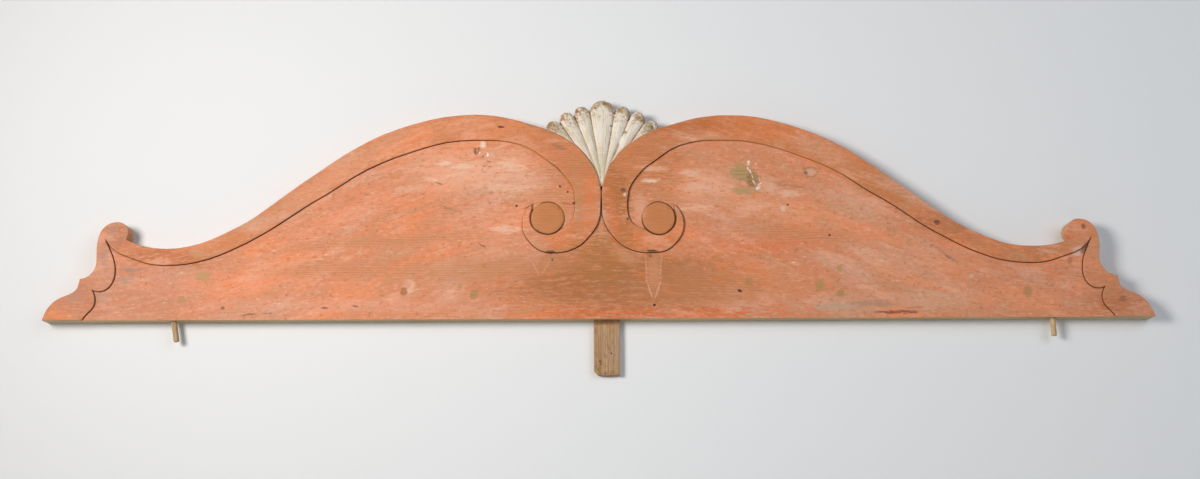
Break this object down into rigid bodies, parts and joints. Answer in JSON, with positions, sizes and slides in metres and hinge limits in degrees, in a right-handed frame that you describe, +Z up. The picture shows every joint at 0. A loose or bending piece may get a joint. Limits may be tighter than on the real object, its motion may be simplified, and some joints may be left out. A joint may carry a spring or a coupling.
{
  "type": "furniture pediment",
  "caption": "Carved wooden pediment: scrolls curling in to a small shell, feet with round knobs, dowel pins and a batten below to seat it on a cornice.",
  "frame": {"origin": "on the board's underside, on the middle line between the scrolls and midway through the thickness", "axes": "+X to the right seen from the front, -Y towards the carved front, +Z up"},
  "size_m": [1.7, 0.03, 0.436],
  "materials": {
    "orange_paint": "worn orange distemper-like paint on pine, thin enough for the grain to show",
    "white_paint": "chalky worn white paint on carved pine",
    "bare_pine": "bare aged pine, matt",
    "dowel_wood": "bare pale dowel, matt"
  },
  "bodies": {
    "root": {"scroll_board": "orange_paint", "carved_shell": "white_paint", "centre_tongue": "bare_pine", "left_pin": "dowel_wood", "right_pin": "dowel_wood"}
  },
  "joints": []
}
